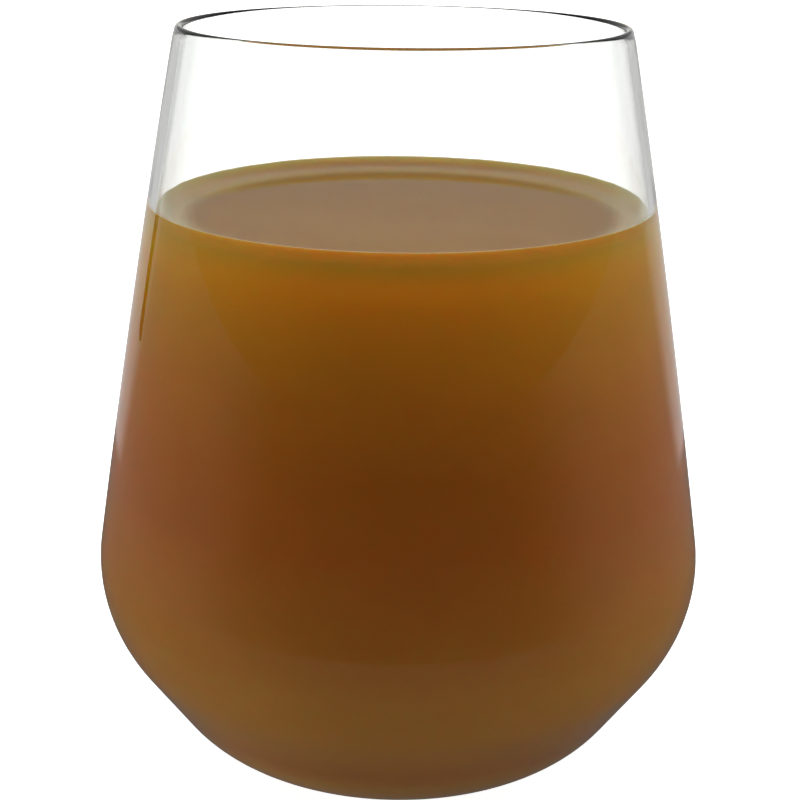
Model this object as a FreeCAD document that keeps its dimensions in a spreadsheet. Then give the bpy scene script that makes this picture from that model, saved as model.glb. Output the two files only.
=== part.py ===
"""Stemless tumbler of peach juice: a clear glass with a low belly, and the drink standing in it.

Millimetres, +Z up, origin at the middle of the foot, on the table. Both pieces are turned about Z,
from a half section on their body's XZ plane, in which x is the radius and y the height.
"""

import FreeCAD, Part
import math
import os

import Sketcher

# Driving dimensions: alias, value, what it is.
SIZES = [
    ("glass_height", 110.0, "table to the top of the mouth"),
    ("belly_radius", 46.0, "outside, at the widest ring"),
    ("belly_height", 30.0, "table to the widest ring"),
    ("mouth_radius", 32.5, "outside, at the top"),
    ("shoulder_radius", 23.6, "section's arc round the belly"),
    ("wall_bow_radius", 2050.0, "section's slight bow from the belly to the mouth"),
    ("under_slope", 35.3, "outside below the belly, degrees from upright"),
    ("heel_radius", 17.8, "section's arc from there to the foot"),
    ("mouth_wall", 1.2, "thickness at the mouth"),
    ("belly_wall", 1.5, "thickness at the belly"),
    ("under_flare", 2.7, "degrees by which the wall thickens below the belly"),
    ("inner_heel_radius", 7.0, "inside, section's arc from the wall to the floor"),
    ("floor_thickness", 6.0, "glass under the middle of the drink"),
    ("floor_dish_radius", 260.0, "hollow curve of the floor"),
    ("mouth_round", 0.55, "fire-polished edges of the mouth"),
    ("foot_ring", 4.8, "width of the ring that the glass stands on"),
    ("punt_depth", 0.9, "rise in the middle of the shallow hollow within that ring"),
    ("drink_height", 82.9, "table to the level surface of the drink"),
    ("meniscus_rise", 2.0, "climb of the drink at the wall"),
    ("meniscus_radius", 4.0, "hollow curve of that climb"),
    ("fill_clearance", 0.05, "between the drink and the inside of the glass"),
]

# Ends of an edge, and a sketch's own root point and upright axis.
START = 1
END = 2
CENTRE = 3
ROOT = -1
UPRIGHT = -2

UP = math.pi / 2
DOWN = -UP
MOUTH_ROUND_SHARE = 0.46  # of the mouth's wall, the most that either edge is rounded
SAME_PLACE = 1e-4


def make_sheet(doc):
    """The spreadsheet of driving dimensions, each cell with its name as alias."""
    sheet = doc.addObject("Spreadsheet::Sheet", "Sizes")
    for row, (alias, value, meaning) in enumerate(SIZES, start=1):
        sheet.set(f"A{row}", alias)
        sheet.set(f"B{row}", str(value))
        sheet.set(f"C{row}", meaning)
        sheet.setAlias(f"B{row}", alias)
    doc.recompute()


def at(radius, height):
    """A place in a section."""
    return FreeCAD.Vector(radius, height, 0)


def polar(length, turn):
    """A step in a section, its direction in radians counted up from straight outwards."""
    return at(length * math.cos(turn), length * math.sin(turn))


def bearing(step):
    """The direction of a step, in the same radians."""
    return math.atan2(step.y, step.x)


def circles_meet(first, first_radius, second, second_radius):
    """Where two circles cross, on the left of the way from the first centre to the second."""
    way = second - first
    along = (first_radius**2 - second_radius**2 + way.Length**2) / (2 * way.Length)
    aside = math.sqrt(first_radius**2 - along**2)
    return first + polar(along, bearing(way)) + polar(aside, bearing(way) + UP)


class Section:
    """A half section in a body: edges drawn near their place, then held by bound dimensions."""

    def __init__(self, body, name):
        self.body = body
        self.sketch = body.newObject("Sketcher::SketchObject", name)
        plane = next(f for f in body.Origin.OriginFeatures if f.Role == "XZ_Plane")
        self.sketch.AttachmentSupport = [(plane, "")]
        self.sketch.MapMode = "FlatFace"

    def worth(self, expression):
        """What an expression in the driving dimensions comes to."""
        return float(self.sketch.evalExpression(expression))

    def place(self, edge, end):
        """Where an end of an edge lies."""
        return self.sketch.getPoint(edge, end)

    def line(self, start, end):
        """A straight edge."""
        return self.sketch.addGeometry(Part.LineSegment(start, end), False)

    def arc(self, centre, radius, first, last):
        """An arc, counter-clockwise from one direction to another."""
        circle = Part.Circle(centre, FreeCAD.Vector(0, 0, 1), radius)
        return self.sketch.addGeometry(Part.ArcOfCircle(circle, first, last), False)

    def guide(self, place):
        """A point that edges are held to, and no edge itself."""
        return self.sketch.addGeometry(Part.Point(place), True)

    def hold(self, kind, *where):
        """A constraint."""
        return self.sketch.addConstraint(Sketcher.Constraint(kind, *where))

    def bind(self, index, name, expression):
        """A constraint's size follows the sheet."""
        self.sketch.renameConstraint(index, name)
        self.sketch.setExpression(f"Constraints.{name}", expression)

    def radius(self, name, expression, arc):
        """The radius of an arc."""
        self.bind(self.hold("Radius", arc, self.worth(expression)), name, expression)

    def lean(self, name, expression, line):
        """The slope of a rising line, in degrees from upright."""
        index = self.hold("Angle", line, math.radians(90 - self.worth(expression)))
        self.bind(index, name, f"(90 - ({expression})) * 1 deg")

    def out(self, name, expression, edge, end):
        """The distance of an end from the axis."""
        index = self.hold("DistanceX", ROOT, START, edge, end, self.worth(expression))
        self.bind(index, name, expression)

    def up(self, name, expression, edge, end):
        """The height of an end above the table."""
        index = self.hold("DistanceY", ROOT, START, edge, end, self.worth(expression))
        self.bind(index, name, expression)

    def read(self, name, edge, end):
        """The distance of an end from the axis, not set here but named, for others to follow."""
        index = self.hold("DistanceX", ROOT, START, edge, end, self.place(edge, end).x)
        self.sketch.setDriving(index, False)
        self.sketch.renameConstraint(index, name)

    def close(self, join, edge, end, first):
        """From an end level in to the axis, and down the axis to the start of the first edge."""
        level = self.line(self.place(edge, end), at(0, self.place(edge, end).y))
        axis = self.line(self.place(level, END), self.place(first, START))
        self.hold(join, edge, end, level, START)
        self.hold("Horizontal", level)
        self.hold("Coincident", level, END, axis, START)
        self.hold("Vertical", axis)
        self.hold("Coincident", axis, END, first, START)

    def turn(self, kind, name):
        """The solid, or the cut, that the section sweeps in a full turn about Z."""
        feature = self.body.newObject(f"PartDesign::{kind}", name)
        feature.Profile = self.sketch
        feature.ReferenceAxis = (self.sketch, ["V_Axis"])
        feature.Angle = 360
        self.sketch.Document.recompute()
        return feature


def draw_wall(section, skin, lip, slope, heel, floor, top):
    """The wall from the heel up: heel arc, straight, shoulder arc and bowed wall, each into the next.

    skin and lip say how far it lies inside the glass's outside, at the belly and at the mouth.
    floor and top are the heights where it starts and ends.
    """
    bend = f"Sizes.shoulder_radius - ({skin})"
    bow = f"Sizes.wall_bow_radius - ({skin})"
    mouth = f"Sizes.mouth_radius - ({lip})"
    middle = "Sizes.belly_radius - Sizes.shoulder_radius"
    r_bend, r_bow, r_heel = (section.worth(e) for e in (bend, bow, heel))
    bend_centre = at(section.worth(middle), section.worth("Sizes.belly_height"))
    mouth_place = at(section.worth(mouth), section.worth("Sizes.glass_height"))
    bow_centre = circles_meet(bend_centre, r_bow - r_bend, mouth_place, r_bow)
    under = math.radians(-section.worth(slope))
    over = bearing(bend_centre - bow_centre)
    end = math.asin((section.worth(top) - bow_centre.y) / r_bow)
    heel_centre = bend_centre + polar(r_bend - r_heel, under)
    run = (heel_centre.y - r_heel - section.worth(floor)) / math.cos(under)
    heel_centre += polar(run, under + DOWN)

    heel_arc = section.arc(heel_centre, r_heel, DOWN, under)
    straight = section.line(heel_centre + polar(r_heel, under), bend_centre + polar(r_bend, under))
    bend_arc = section.arc(bend_centre, r_bend, under, over)
    bow_arc = section.arc(bow_centre, r_bow, over, end)
    mouth_point = section.guide(mouth_place)
    section.hold("Tangent", heel_arc, END, straight, START)
    section.hold("Tangent", straight, END, bend_arc, START)
    section.hold("Tangent", bend_arc, END, bow_arc, START)
    section.hold("PointOnObject", mouth_point, START, bow_arc)
    section.out("mouth_out", mouth, mouth_point, START)
    section.up("mouth_up", "Sizes.glass_height", mouth_point, START)
    section.out("bend_out", middle, bend_arc, CENTRE)
    section.up("bend_up", "Sizes.belly_height", bend_arc, CENTRE)
    section.radius("bend", bend, bend_arc)
    section.radius("bow", bow, bow_arc)
    section.radius("heel", heel, heel_arc)
    section.lean("slope", slope, straight)
    section.up("top", top, bow_arc, END)
    return heel_arc, bow_arc


def draw_hollow(section, inset, top):
    """The inside of the glass, drawn an inset smaller all over: the dished floor and the wall."""
    floor = f"Sizes.floor_thickness + ({inset})"
    heel_arc, bow_arc = draw_wall(
        section,
        skin=f"Sizes.belly_wall + ({inset})",
        lip=f"Sizes.mouth_wall + ({inset})",
        slope="Sizes.under_slope + Sizes.under_flare",
        heel=f"Sizes.inner_heel_radius - ({inset})",
        floor=floor,
        top=top,
    )
    dish = f"Sizes.floor_dish_radius - ({inset})"
    centre = at(0, section.worth(f"{floor} + {dish}"))
    edge = section.place(heel_arc, START)
    dish_arc = section.arc(centre, section.worth(dish), DOWN, bearing(edge - centre))
    section.hold("Tangent", dish_arc, END, heel_arc, START)
    section.hold("PointOnObject", dish_arc, CENTRE, UPRIGHT)
    section.hold("PointOnObject", dish_arc, START, UPRIGHT)
    section.up("floor", floor, dish_arc, START)
    section.radius("dish", dish, dish_arc)
    return dish_arc, bow_arc


def blank(body):
    """The outside of the glass, solid to the mouth, on its flat foot."""
    section = Section(body, "outside")
    heel_arc, bow_arc = draw_wall(
        section,
        skin="0",
        lip="0",
        slope="Sizes.under_slope",
        heel="Sizes.heel_radius",
        floor="0",
        top="Sizes.glass_height",
    )
    foot = section.line(at(0, 0), section.place(heel_arc, START))
    section.hold("Coincident", foot, START, ROOT, START)
    section.hold("Horizontal", foot)
    section.hold("Tangent", foot, END, heel_arc, START)
    section.close("Coincident", bow_arc, END, foot)
    section.read("foot_out", foot, END)
    return section.turn("Revolution", "blank")


def bowl(body):
    """The hollow for the drink, open at the mouth."""
    section = Section(body, "inside")
    dish_arc, bow_arc = draw_hollow(section, "0", "Sizes.glass_height")
    section.close("Coincident", bow_arc, END, dish_arc)
    return section.turn("Groove", "bowl")


def punt(body):
    """The shallow hollow under the foot, which leaves the glass standing on a ring."""
    section = Section(body, "under_foot")
    edge = "outside.Constraints.foot_out - Sizes.foot_ring * 1 mm"
    radius = section.worth(edge)
    depth = section.worth("Sizes.punt_depth")
    curve = (radius**2 + depth**2) / (2 * depth)
    centre = at(0, depth - curve)
    foot = section.line(at(0, 0), at(radius, 0))
    dome = section.arc(centre, curve, bearing(at(radius, 0) - centre), UP)
    axis = section.line(at(0, depth), at(0, 0))
    section.hold("Coincident", foot, START, ROOT, START)
    section.hold("Horizontal", foot)
    section.hold("Coincident", foot, END, dome, START)
    section.hold("Coincident", dome, END, axis, START)
    section.hold("Coincident", axis, END, foot, START)
    section.hold("Vertical", axis)
    section.hold("PointOnObject", dome, CENTRE, UPRIGHT)
    section.out("edge", edge, dome, START)
    section.up("rise", "Sizes.punt_depth", dome, END)
    return section.turn("Groove", "punt")


def polish(body, height):
    """The mouth's edges, rounded by melting: the two rings at the top, each rounded."""
    base = body.Tip
    rings = [
        f"Edge{index}"
        for index, edge in enumerate(base.Shape.Edges, start=1)
        if edge.BoundBox.ZMin > height - SAME_PLACE
    ]
    fillet = body.newObject("PartDesign::Fillet", "mouth_edges")
    fillet.Base = (base, rings)
    fillet.setExpression("Radius", f"min(Sizes.mouth_round; {MOUTH_ROUND_SHARE} * Sizes.mouth_wall)")
    body.Document.recompute()


def make_glass(doc):
    """The tumbler: a solid blank, the bowl and the hollow foot cut from it, and a polished mouth."""
    body = doc.addObject("PartDesign::Body", "glass")
    body.Label = "glass"
    whole = blank(body).Shape.Volume
    hollowed = bowl(body).Shape.Volume
    on_ring = punt(body).Shape.Volume
    polish(body, doc.Sizes.glass_height)
    if not whole > hollowed > on_ring > body.Shape.Volume:
        raise SystemExit("a cut of the glass took nothing away")
    print(f"brimful {(whole - hollowed) / 1000:.0f} ml")
    return body


def make_juice(doc):
    """The drink: it fills the bowl to its level, and climbs a little at the wall."""
    body = doc.addObject("PartDesign::Body", "juice")
    body.Label = "juice"
    section = Section(body, "drink")
    top = "Sizes.drink_height + Sizes.meniscus_rise"
    dish_arc, bow_arc = draw_hollow(section, "Sizes.fill_clearance", top)
    radius = section.worth("Sizes.meniscus_radius")
    climb = math.acos(1 - section.worth("Sizes.meniscus_rise") / radius)
    contact = section.place(bow_arc, END)
    meniscus = section.arc(contact - polar(radius, DOWN + climb), radius, DOWN, DOWN + climb)
    section.hold("Coincident", meniscus, END, bow_arc, END)
    section.radius("meniscus", "Sizes.meniscus_radius", meniscus)
    section.up("level", "Sizes.drink_height", meniscus, START)
    section.close("Tangent", meniscus, START, dish_arc)
    section.turn("Revolution", "fill")
    return body


def check(doc, bodies):
    """Every object is up to date, every sketch is fully held, and every body is one valid solid."""
    for item in doc.Objects:
        if "Invalid" in item.State or "Error" in item.State:
            raise SystemExit(f"{item.Name} failed: {item.State}")
        if item.isDerivedFrom("Sketcher::SketchObject") and not item.FullyConstrained:
            raise SystemExit(f"{item.Name} is not fully held")
    for body in bodies:
        if body.Shape.isNull() or not body.Shape.isValid() or len(body.Shape.Solids) != 1:
            raise SystemExit(f"{body.Label} is not one valid solid")


def main():
    doc = FreeCAD.newDocument("peach_juice")
    make_sheet(doc)
    bodies = [make_glass(doc), make_juice(doc)]
    doc.recompute()
    check(doc, bodies)
    os.makedirs("parts", exist_ok=True)
    for body in bodies:
        body.Shape.exportStep(f"parts/{body.Label}.step")
        box = body.Shape.BoundBox
        print(f"{body.Label}: {body.Shape.Volume / 1000:.1f} ml, z {box.ZMin:.2f} to {box.ZMax:.2f}")


main()
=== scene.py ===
"""The look of a stemless tumbler of cloudy peach juice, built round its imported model.

Metres, +Z up. The glass and the drink are turned again from fine sections. The drink reaches a little
into the wall of the glass, so that no air shows between them.
"""

import math

import bmesh
import bpy
from mathutils import Matrix, Vector


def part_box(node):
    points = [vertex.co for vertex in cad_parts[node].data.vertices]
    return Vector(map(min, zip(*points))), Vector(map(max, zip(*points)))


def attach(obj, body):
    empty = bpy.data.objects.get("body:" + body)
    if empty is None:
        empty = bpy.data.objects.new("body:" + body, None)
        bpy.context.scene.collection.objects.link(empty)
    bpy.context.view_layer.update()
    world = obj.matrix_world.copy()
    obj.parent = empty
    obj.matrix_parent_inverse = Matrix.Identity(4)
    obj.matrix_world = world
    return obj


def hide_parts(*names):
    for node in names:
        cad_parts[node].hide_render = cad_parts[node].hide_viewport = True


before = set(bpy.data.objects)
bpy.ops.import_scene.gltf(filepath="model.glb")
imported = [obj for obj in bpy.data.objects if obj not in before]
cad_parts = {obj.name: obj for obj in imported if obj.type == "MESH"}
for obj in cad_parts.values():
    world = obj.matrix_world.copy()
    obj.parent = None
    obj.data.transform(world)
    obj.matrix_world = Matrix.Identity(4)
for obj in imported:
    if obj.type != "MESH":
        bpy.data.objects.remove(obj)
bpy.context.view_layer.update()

MM = 0.001
glass_low, glass_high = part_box("glass")
juice_low, juice_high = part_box("juice")

# The glass, as its model is drawn: radii and heights of its section.
HEIGHT = glass_high[2]
BELLY_RADIUS = (glass_high[0] - glass_low[0]) / 2
BELLY_HEIGHT = 30 * MM
MOUTH_RADIUS = 32.5 * MM
SHOULDER_ARC = 23.6 * MM
WALL_BOW = 2050 * MM
UNDER_SLOPE = math.radians(35.3)
UNDER_FLARE = math.radians(2.7)
HEEL_ARC = 17.8 * MM
INNER_HEEL_ARC = 7 * MM
MOUTH_WALL = 1.2 * MM
BELLY_WALL = 1.5 * MM
FLOOR_THICKNESS = 6 * MM
FLOOR_DISH = 260 * MM
FOOT_RING = 4.8 * MM
PUNT_DEPTH = 0.9 * MM
MENISCUS_RISE = 2 * MM
MENISCUS_FADE = 1.15 * MM  # the climb falls to a third in this distance from the wall
MENISCUS_SPAN = 9 * MENISCUS_FADE
MENISCUS_STEPS = 45
INTO_WALL = 0.25 * MM

UP = math.pi / 2
DOWN = -UP
AROUND = 288  # faces round each turned piece
STEP = 0.9 * MM  # between the points of its section
LIP_STEP = STEP / 6
FLAT_STEP = 2 * STEP  # where the section hardly bends
ON_AXIS = 1e-7


def polar(length, turn):
    return Vector((length * math.cos(turn), length * math.sin(turn)))


def bearing(step):
    return math.atan2(step.y, step.x)


def arc(centre, radius, first, last, step=STEP):
    """Points of a section along an arc."""
    count = max(3, math.ceil(abs(last - first) * radius / step))
    return [centre + polar(radius, first + (last - first) * i / count) for i in range(count + 1)]


def line(start, end, step=STEP):
    """Points of a section along a straight."""
    count = max(1, math.ceil((end - start).length / step))
    return [start.lerp(end, i / count) for i in range(count + 1)]


def circles_meet(first, first_radius, second, second_radius):
    """Where two circles cross, on the left of the way from the first centre to the second."""
    way = second - first
    along = (first_radius**2 - second_radius**2 + way.length**2) / (2 * way.length)
    aside = math.sqrt(first_radius**2 - along**2)
    return first + polar(along, bearing(way)) + polar(aside, bearing(way) + UP)


def wall(skin, lip, slope, heel, floor, dish, top):
    """A section of the wall, from its heel up to the height top.

    It lies inside the glass's outside by skin at the belly and by lip at the mouth. Slope is the wall's below
    the belly, heel is the arc under that, and dish is the arc of a hollow floor, or None for a flat one.
    """
    bend_centre = Vector((BELLY_RADIUS - SHOULDER_ARC, BELLY_HEIGHT))
    bend = SHOULDER_ARC - skin
    bow = WALL_BOW - skin
    bow_centre = circles_meet(bend_centre, bow - bend, Vector((MOUTH_RADIUS - lip, HEIGHT)), bow)
    over = bearing(bend_centre - bow_centre)
    start = bend_centre + polar(bend - heel, -slope)
    down = polar(1, -slope + DOWN)
    if dish:
        dish_centre = Vector((0, floor + dish))
        back = (start - dish_centre).dot(down)
        gap = (start - dish_centre).length_squared - (dish - heel) ** 2
        heel_centre = start + down * (math.sqrt(back**2 - gap) - back)
        floor_end = bearing(heel_centre - dish_centre)
        points = arc(dish_centre, dish, DOWN, floor_end)
    else:
        heel_centre = start + down * (start.y - heel - floor) / math.cos(slope)
        floor_end = DOWN
        points = []
    end = math.asin((top - bow_centre.y) / bow)
    points += arc(heel_centre, heel, floor_end, -slope)
    points += line(heel_centre + polar(heel, -slope), bend_centre + polar(bend, -slope))[1:]
    points += arc(bend_centre, bend, -slope, over)[1:]
    points += arc(bow_centre, bow, over, end, FLAT_STEP)[1:]
    return points


def inside(inset, top):
    """The hollow of the glass, an inset smaller all over, from its middle up to a height."""
    return wall(
        BELLY_WALL + inset,
        MOUTH_WALL + inset,
        UNDER_SLOPE + UNDER_FLARE,
        INNER_HEEL_ARC - inset,
        FLOOR_THICKNESS + inset,
        FLOOR_DISH - inset,
        top,
    )


def placed(name, data):
    thing = bpy.data.objects.new(name, data)
    bpy.context.scene.collection.objects.link(thing)
    return thing


def turned(name, section, materials, change=None):
    """A mesh turned about Z from a section that starts and ends on the axis.

    The second material starts at the section's point number change.
    """
    mesh = bpy.data.meshes.new(name)
    body = bmesh.new()
    rings = []
    for point in section:
        if point.x < ON_AXIS:
            rings.append([body.verts.new((0, 0, point.y))])
            continue
        around = [polar(point.x, 2 * math.pi * i / AROUND) for i in range(AROUND)]
        rings.append([body.verts.new((*place, point.y)) for place in around])
    for index, (low, high) in enumerate(zip(rings, rings[1:])):
        slot = int(change is not None and index >= change)
        for i in range(AROUND):
            j = (i + 1) % AROUND
            corners = [low[i % len(low)], low[j % len(low)], high[j % len(high)], high[i % len(high)]]
            face = body.faces.new(list(dict.fromkeys(corners)))
            face.smooth = True
            face.material_index = slot
    bmesh.ops.recalc_face_normals(body, faces=body.faces)
    body.to_mesh(mesh)
    body.free()
    for material in materials:
        mesh.materials.append(material)
    return placed(name, mesh)


def glass_section():
    """Hollow foot, ring, outside, fire-polished mouth and inside, from axis to axis."""
    outside = wall(0, 0, UNDER_SLOPE, HEEL_ARC, 0, None, HEIGHT)
    hollow = inside(0, HEIGHT)
    ring = outside[0].x - FOOT_RING
    curve = (ring**2 + PUNT_DEPTH**2) / (2 * PUNT_DEPTH)
    punt_centre = Vector((0, PUNT_DEPTH - curve))
    punt = arc(punt_centre, curve, UP, bearing(Vector((ring, 0)) - punt_centre))
    foot = line(Vector((ring, 0)), outside[0])
    lip_radius = (outside[-1] - hollow[-1]).length / 2
    lip_centre = (outside[-1] + hollow[-1]) / 2 - Vector((0, lip_radius))
    lip = arc(lip_centre, lip_radius, 0, math.pi, LIP_STEP)
    below_lip = lip_centre.y - STEP / 2
    outer = [p for p in outside if p.y < below_lip]
    inner = [p for p in hollow if p.y < below_lip]
    return punt[:-1] + foot + outer[1:] + lip + inner[::-1]


def juice_section():
    """The drink from its floor up the wall, over the meniscus and in along its surface.

    Returned with the number of the point where its free surface starts.
    """
    level = juice_high[2] - MENISCUS_RISE
    side = inside(-INTO_WALL, juice_high[2])
    contact = side[-1].x - INTO_WALL
    steps = [MENISCUS_SPAN * i / MENISCUS_STEPS for i in range(MENISCUS_STEPS + 1)]
    meniscus = [Vector((contact - x, level + MENISCUS_RISE * math.exp(-x / MENISCUS_FADE))) for x in steps]
    meniscus[-1].y = level
    surface = line(meniscus[-1], Vector((0, level)), FLAT_STEP)
    return side + meniscus + surface[1:], len(side) - 1


def new_material(name):
    material = bpy.data.materials.new(name)
    material.use_nodes = True
    nodes = material.node_tree.nodes
    nodes.clear()
    return material, nodes, material.node_tree.links


def show(nodes, links, shader, kind="ShaderNodeOutputMaterial"):
    output = nodes.new(kind)
    links.new(shader.outputs[0], output.inputs["Surface"])


def feed(links, value, socket):
    """Another node's output goes into a socket, or a value is set on it."""
    if isinstance(value, bpy.types.NodeSocket):
        links.new(value, socket)
    else:
        socket.default_value = value


def noise(nodes, links, size, detail, stretch=(1, 1, 1), roughness=0.5):
    """A noise with clouds of about a size, in the object's own space."""
    place = nodes.new("ShaderNodeTexCoord")
    mapping = nodes.new("ShaderNodeMapping")
    mapping.inputs["Scale"].default_value = stretch
    texture = nodes.new("ShaderNodeTexNoise")
    texture.inputs["Scale"].default_value = 1 / size
    texture.inputs["Detail"].default_value = detail
    texture.inputs["Roughness"].default_value = roughness
    links.new(place.outputs["Object"], mapping.inputs["Vector"])
    links.new(mapping.outputs[0], texture.inputs["Vector"])
    return texture.outputs["Fac"]


def ramp(nodes, links, value, stops):
    """Colours at values between 0 and 1."""
    node = nodes.new("ShaderNodeValToRGB")
    elements = node.color_ramp.elements
    while len(elements) < len(stops):
        elements.new(0.5)
    for element, (position, colour) in zip(elements, stops):
        element.position = position
        element.color = (*colour, 1)
    links.new(value, node.inputs[0])
    return node.outputs[0]


def mapped(nodes, links, value, low, high, to_low, to_high):
    """A value taken from one span to another."""
    node = nodes.new("ShaderNodeMapRange")
    for name, number in zip(("From Min", "From Max", "To Min", "To Max"), (low, high, to_low, to_high)):
        node.inputs[name].default_value = number
    links.new(value, node.inputs["Value"])
    return node.outputs[0]


def times(nodes, links, first, second):
    """The product of two values, either of which may be a plain number."""
    node = nodes.new("ShaderNodeMath")
    node.operation = "MULTIPLY"
    feed(links, first, node.inputs[0])
    feed(links, second, node.inputs[1])
    return node.outputs[0]


GLASS_IOR = 1.51
# Each noise's size, and the span of its values that its effect covers.
GLASS_UNEVEN = 14 * MM
GLASS_UNEVEN_STRETCH = (1, 1, 0.6)
GLASS_UNEVEN_HEIGHT = 0.04 * MM
GLASS_TINT = [(0.3, (0.975, 0.985, 0.98)), (0.7, (0.99, 0.995, 0.992))]
GLASS_WEAR = 2.5 * MM
GLASS_WEAR_SPAN = (0.55, 0.8)
GLASS_ROUGHNESS = (0.0, 0.02)


def glass_material():
    """Clear glass, very slightly uneven as moulded glass is, that lets light through to the drink."""
    material, nodes, links = new_material("clear_glass")
    shader = nodes.new("ShaderNodeBsdfPrincipled")
    shader.inputs["IOR"].default_value = GLASS_IOR
    shader.inputs["Transmission Weight"].default_value = 1
    uneven = noise(nodes, links, GLASS_UNEVEN, 2, GLASS_UNEVEN_STRETCH)
    links.new(ramp(nodes, links, uneven, GLASS_TINT), shader.inputs["Base Color"])
    wear = noise(nodes, links, GLASS_WEAR, 4)
    roughness = mapped(nodes, links, wear, *GLASS_WEAR_SPAN, *GLASS_ROUGHNESS)
    links.new(roughness, shader.inputs["Roughness"])
    bump = nodes.new("ShaderNodeBump")
    bump.inputs["Distance"].default_value = GLASS_UNEVEN_HEIGHT
    links.new(uneven, bump.inputs["Height"])
    links.new(bump.outputs[0], shader.inputs["Normal"])
    clear = nodes.new("ShaderNodeBsdfTransparent")
    path = nodes.new("ShaderNodeLightPath")
    mix = nodes.new("ShaderNodeMixShader")
    links.new(path.outputs["Is Shadow Ray"], mix.inputs[0])
    links.new(shader.outputs[0], mix.inputs[1])
    links.new(clear.outputs[0], mix.inputs[2])
    show(nodes, links, mix)
    return material


# The drink's own orange-brown in the glass by height, as a share of its whole height, with painted light and
# shade.
# Painted light: yellower and lighter high up, where light comes in through the surface, and lighter low down,
# as lit from the floor.
# Painted shade: reddest and darkest at half height, where light has gone furthest through the drink.
# Painted shadow: darker again at the very top, where the drink meets the glass; it is also darker at the very
# bottom.
JUICE_IN_GLASS_AND_PAINTED_LIGHT = [
    (0.0, (0.62, 0.24, 0.03)),
    (0.1, (0.78, 0.37, 0.05)),
    (0.25, (0.88, 0.46, 0.09)),
    (0.5, (0.83, 0.31, 0.05)),
    (0.62, (0.84, 0.32, 0.04)),
    (0.75, (0.87, 0.40, 0.04)),
    (0.92, (0.90, 0.58, 0.04)),
    (0.965, (0.95, 0.64, 0.06)),
    (0.985, (0.82, 0.60, 0.08)),
    (1.0, (0.60, 0.52, 0.08)),
]
# And on its surface, by height as a share of the edge's climb up the glass, with painted light: the edge is
# lighter.
# The lighter climbing edge is a painted reflection of the bright room in the meniscus, and painted light
# through the thin juice there.
JUICE_ON_TOP_AND_PAINTED_REFLECTION = [
    (0.0, (0.53, 0.26, 0.044)),
    (0.004, (0.55, 0.28, 0.06)),
    (0.02, (0.73, 0.46, 0.17)),
    (0.055, (0.93, 0.69, 0.34)),
    (0.2, (0.97, 0.76, 0.42)),
    (1.0, (0.97, 0.80, 0.46)),
]
JUICE_CLOUDS = [(0.3, (0.94, 0.92, 0.88)), (0.7, (1, 1, 1))]
JUICE_CLOUD_SIZE = 16 * MM
JUICE_CLOUD_STRETCH = (1, 1, 1.5)
JUICE_CLOUD_ROUGHNESS = 0.6
JUICE_IOR = 1.35
JUICE_DEPTH = 26 * MM  # how far light goes between turns
JUICE_DEPTH_AT_EDGE = 3 * MM
JUICE_EDGE = (0.93, 0.965)  # shares of the height between which the one depth becomes the other
JUICE_SPREAD = (1.0, 0.3, 0.2)  # shares of the depth in red, green and blue
JUICE_SPREAD_ON_TOP = (1.0, 0.6, 0.4)
JUICE_GLOSS = 0.0  # against the glass that it touches
JUICE_GLOSS_ON_TOP = 0.5
JUICE_FINE = 1.2 * MM
JUICE_FINE_SPAN = (0.4, 0.8)
JUICE_ROUGHNESS = (0.03, 0.08)


def juice_material(name, gloss, spread, colours, lowest):
    """Cloudy juice, with colours and painted light and shade that run from the height lowest up to the
    drink's highest point.
    """
    material, nodes, links = new_material(name)
    shader = nodes.new("ShaderNodeBsdfPrincipled")
    shader.inputs["IOR"].default_value = JUICE_IOR
    shader.inputs["Specular IOR Level"].default_value = gloss
    shader.inputs["Subsurface Weight"].default_value = 1
    shader.inputs["Subsurface Radius"].default_value = spread
    place = nodes.new("ShaderNodeTexCoord")
    split = nodes.new("ShaderNodeSeparateXYZ")
    links.new(place.outputs["Object"], split.inputs[0])
    height = mapped(nodes, links, split.outputs["Z"], juice_low[2], juice_high[2], 0, 1)
    depth = mapped(nodes, links, height, *JUICE_EDGE, JUICE_DEPTH, JUICE_DEPTH_AT_EDGE)
    links.new(depth, shader.inputs["Subsurface Scale"])
    climb = mapped(nodes, links, split.outputs["Z"], lowest, juice_high[2], 0, 1)
    clouds = noise(nodes, links, JUICE_CLOUD_SIZE, 5, JUICE_CLOUD_STRETCH, JUICE_CLOUD_ROUGHNESS)
    # The colour by height, with its painted light and shade, times the pulp's clouds.
    pulp_and_painted_light = nodes.new("ShaderNodeVectorMath")
    pulp_and_painted_light.operation = "MULTIPLY"
    links.new(ramp(nodes, links, climb, colours), pulp_and_painted_light.inputs[0])
    links.new(ramp(nodes, links, clouds, JUICE_CLOUDS), pulp_and_painted_light.inputs[1])
    links.new(pulp_and_painted_light.outputs[0], shader.inputs["Base Color"])
    fine = noise(nodes, links, JUICE_FINE, 2)
    roughness = mapped(nodes, links, fine, *JUICE_FINE_SPAN, *JUICE_ROUGHNESS)
    links.new(roughness, shader.inputs["Roughness"])
    show(nodes, links, shader)
    return material


def make_glass():
    piece = turned("tumbler", glass_section(), [glass_material()])
    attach(piece, "root")
    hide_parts("glass")


def make_juice():
    section, surface = juice_section()
    level = juice_high[2] - MENISCUS_RISE
    # Both colour lists carry painted light and shade: by height in the glass, and a painted reflection on the
    # surface's climbing edge.
    materials = [
        juice_material("juice_in_glass", JUICE_GLOSS, JUICE_SPREAD, JUICE_IN_GLASS_AND_PAINTED_LIGHT, juice_low[2]),
        juice_material("juice_surface", JUICE_GLOSS_ON_TOP, JUICE_SPREAD_ON_TOP, JUICE_ON_TOP_AND_PAINTED_REFLECTION, level),
    ]
    piece = turned("peach_juice", section, materials, surface)
    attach(piece, "root")
    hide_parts("juice")


SQUARE = [(-1, -1), (1, -1), (1, 1), (-1, 1)]
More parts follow.
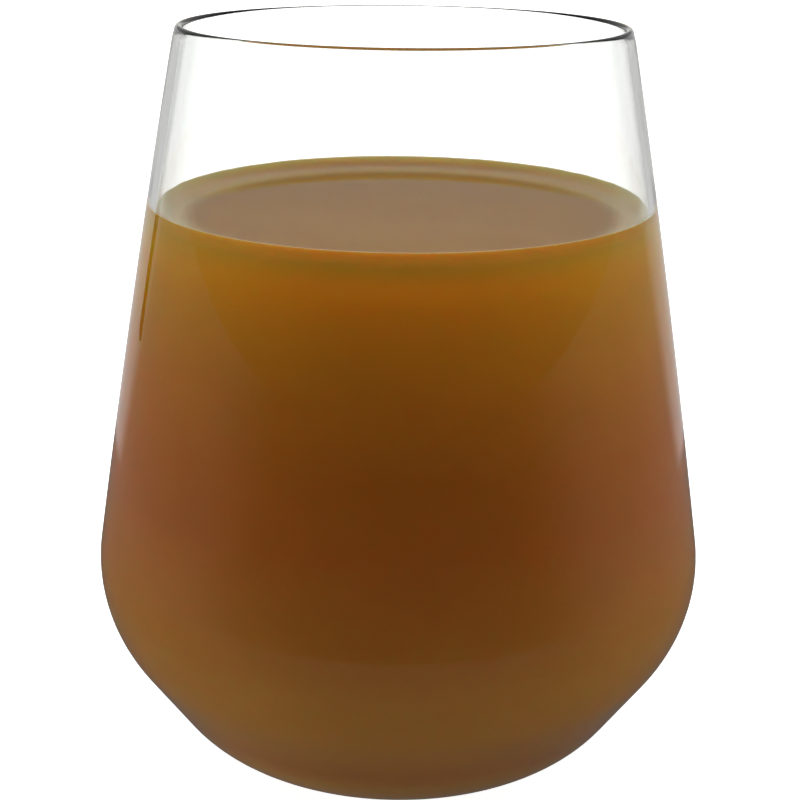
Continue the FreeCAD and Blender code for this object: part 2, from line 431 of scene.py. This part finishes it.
# The stage's lists give a level at how far a direction goes to the back, from -1 to 1, or upward where the
# name says so.
FLOOR_HALF = 8.0
FLOOR_PALE = (0.80, 0.80, 0.79, 1)
FLOOR_BLACK = (0, 0, 0, 1)
FLOOR_LIT = [(-1, 0.04), (-0.3, 0.08), (0, 0.35), (1, 0.5)]
FLOOR_MIRRORED = [(-1, 0.01), (-0.65, 0.03), (-0.3, 0.25), (0.6, 0.28), (0.70, 0.68), (1, 0.8)]
FLOOR_GLOW = 1.2
FLOOR_GLOW_LIT = [(-1, 0.0), (-0.3, 0.01), (0, 0.09), (1, 0.16)]
FLOOR_NEAR = (0.10, 0.20)  # distances from the axis between which the levels come in
FLOOR_NEAR_SHARE = 0.5
FLOOR_ROUGHNESS = 0.9
FLOOR_GLOSS = 0.1


def by_path(nodes, links, seen, mirrored, scattered, colours):
    """One value where the stage is seen, and others where the glass mirrors it or is lit by it."""
    path = nodes.new("ShaderNodeLightPath")
    first = mixed(nodes, links, path.outputs["Glossy Depth"], seen, mirrored, colours)
    return mixed(nodes, links, path.outputs["Diffuse Depth"], first, scattered, colours)


def mixed(nodes, links, factor, first, second, colours):
    """A mix of two values, or of two colours."""
    node = nodes.new("ShaderNodeMix")
    node.data_type = "RGBA" if colours else "FLOAT"
    sockets = [s for s in node.inputs if s.enabled]
    for socket, value in zip(sockets, (factor, first, second)):
        feed(links, value, socket)
    return next(s for s in node.outputs if s.enabled)


def levels(nodes, links, direction, axis, stops):
    """A grey that changes with how far a direction goes along an axis, from -1 against it to 1 with it."""
    split = nodes.new("ShaderNodeSeparateXYZ")
    links.new(direction, split.inputs[0])
    share = mapped(nodes, links, split.outputs[axis], -1, 1, 0, 1)
    return ramp(nodes, links, share, [((turn + 1) / 2, (level,) * 3) for turn, level in stops])


def make_floor():
    """A pale floor, which lights the glass like a darker one, so that its sides don't turn milky."""
    mesh = bpy.data.meshes.new("floor")
    mesh.from_pydata([(x * FLOOR_HALF, y * FLOOR_HALF, 0) for x, y in SQUARE], [], [(0, 1, 2, 3)])
    material, nodes, links = new_material("floor")
    shader = nodes.new("ShaderNodeBsdfPrincipled")
    shader.inputs["Roughness"].default_value = FLOOR_ROUGHNESS
    shader.inputs["Specular IOR Level"].default_value = FLOOR_GLOSS
    shader.inputs["Emission Color"].default_value = FLOOR_PALE
    place = nodes.new("ShaderNodeTexCoord")
    outward = nodes.new("ShaderNodeVectorMath")
    outward.operation = "NORMALIZE"
    links.new(place.outputs["Object"], outward.inputs[0])
    distance = nodes.new("ShaderNodeVectorMath")
    distance.operation = "LENGTH"
    links.new(place.outputs["Object"], distance.inputs[0])
    away = distance.outputs["Value"]
    beyond = nodes.new("ShaderNodeVectorMath")
    beyond.operation = "SCALE"
    links.new(outward.outputs[0], beyond.inputs[0])
    links.new(mapped(nodes, links, away, *FLOOR_NEAR, 0, 1), beyond.inputs["Scale"])
    lit, mirrored, glow_lit = (
        levels(nodes, links, beyond.outputs[0], "Y", stops)
        for stops in (FLOOR_LIT, FLOOR_MIRRORED, FLOOR_GLOW_LIT)
    )
    colour = by_path(nodes, links, FLOOR_PALE, FLOOR_BLACK, lit, True)
    links.new(colour, shader.inputs["Base Color"])
    near = mapped(nodes, links, away, *FLOOR_NEAR, FLOOR_NEAR_SHARE, 1)
    glow = by_path(nodes, links, FLOOR_GLOW, times(nodes, links, mirrored, near), glow_lit, False)
    links.new(glow, shader.inputs["Emission Strength"])
    show(nodes, links, shader)
    mesh.materials.append(material)
    floor = placed("floor", mesh)


SUN = 0.5
SUN_ANGLE = math.radians(70)
SUN_BEHIND = math.radians(20)


def make_light():
    """A wide soft light overhead, a little behind the glass."""
    lamp = bpy.data.lights.new("overhead", "SUN")
    lamp.energy = SUN
    lamp.angle = SUN_ANGLE
    light = placed("overhead", lamp)
    light.rotation_euler = (-SUN_BEHIND, 0, 0)
    light.visible_glossy = False


WORLD_ROUND = [(-1, 0.0), (-0.2, 0.01), (0.15, 0.7), (0.35, 1.0), (0.8, 0.8), (1, 0.7)]
WORLD_UPWARD = [(-0.01, 0.0), (0.04, 0.2), (0.15, 0.8), (0.3, 1.0), (0.6, 0.8), (0.9, 0.2)]
WORLD_LEVEL = 2.9
WORLD_MIRRORED = [(-1, 0.01), (-0.6, 0.02), (-0.1, 0.08), (0.6, 0.16), (0.70, 0.75), (1, 1.0)]
WORLD_MIRRORED_UPWARD = [(-0.1, 1.0), (0.09, 1.0), (0.14, 0.44), (0.5, 0.44), (1, 0.3)]
WORLD_SEEN = 0.95


def make_world():
    """A room that is dark on the camera's side, with soft light from both sides and behind."""
    world = bpy.data.worlds.new("studio")
    bpy.context.scene.world = world
    world.use_nodes = True
    nodes, links = world.node_tree.nodes, world.node_tree.links
    nodes.clear()
    place = nodes.new("ShaderNodeTexCoord")
    around, upward, mirrored_around, mirrored_upward = (
        levels(nodes, links, place.outputs["Generated"], axis, stops)
        for axis, stops in (
            ("Y", WORLD_ROUND),
            ("Z", WORLD_UPWARD),
            ("Y", WORLD_MIRRORED),
            ("Z", WORLD_MIRRORED_UPWARD),
        )
    )
    scattered = times(nodes, links, times(nodes, links, around, upward), WORLD_LEVEL)
    mirrored = times(nodes, links, mirrored_around, mirrored_upward)
    room = nodes.new("ShaderNodeBackground")
    strength = by_path(nodes, links, WORLD_SEEN, mirrored, scattered, False)
    links.new(strength, room.inputs["Strength"])
    show(nodes, links, room, "ShaderNodeOutputWorld")


CAMERA = (0, -0.2448, 0.1325)
CAMERA_DOWN = math.radians(17.83)
CAMERA_ROLL = math.radians(0.64)
SENSOR = 36
LENS = 75.87
CLIP_START = 0.01


def make_camera():
    data = bpy.data.cameras.new("camera")
    data.sensor_width = SENSOR
    data.lens = LENS
    data.clip_start = CLIP_START
    camera = placed("camera", data)
    turn = Matrix.Rotation(UP - CAMERA_DOWN, 4, "X") @ Matrix.Rotation(CAMERA_ROLL, 4, "Z")
    camera.matrix_world = Matrix.Translation(CAMERA) @ turn
    bpy.context.scene.camera = camera


UPRIGHT = (-0.305, 0.274)
UPRIGHT_SIZE = (0.024, 0.3)  # across and up
UPRIGHT_DARK = (0.02, 0.02, 0.02, 1)


def make_upright():
    """A dark post at the back left, which shows only where the glass mirrors it."""
    half, height = UPRIGHT_SIZE[0] / 2, UPRIGHT_SIZE[1]
    places = [(UPRIGHT[0] + x * half, UPRIGHT[1] + y * half, z) for z in (0, height) for x, y in SQUARE]
    sides = [(i, (i + 1) % 4, (i + 1) % 4 + 4, i + 4) for i in range(4)]
    mesh = bpy.data.meshes.new("post")
    mesh.from_pydata(places, [], [*sides, (4, 5, 6, 7)])
    material, nodes, links = new_material("post")
    shader = nodes.new("ShaderNodeBsdfDiffuse")
    shader.inputs["Color"].default_value = UPRIGHT_DARK
    show(nodes, links, shader)
    mesh.materials.append(material)
    post = placed("post", mesh)
    post.visible_camera = post.visible_transmission = False
    post.visible_diffuse = post.visible_shadow = False


make_camera()
make_world()
make_upright()
make_light()
make_floor()
make_glass()
make_juice()
bpy.context.scene.view_settings.view_transform = "Standard"
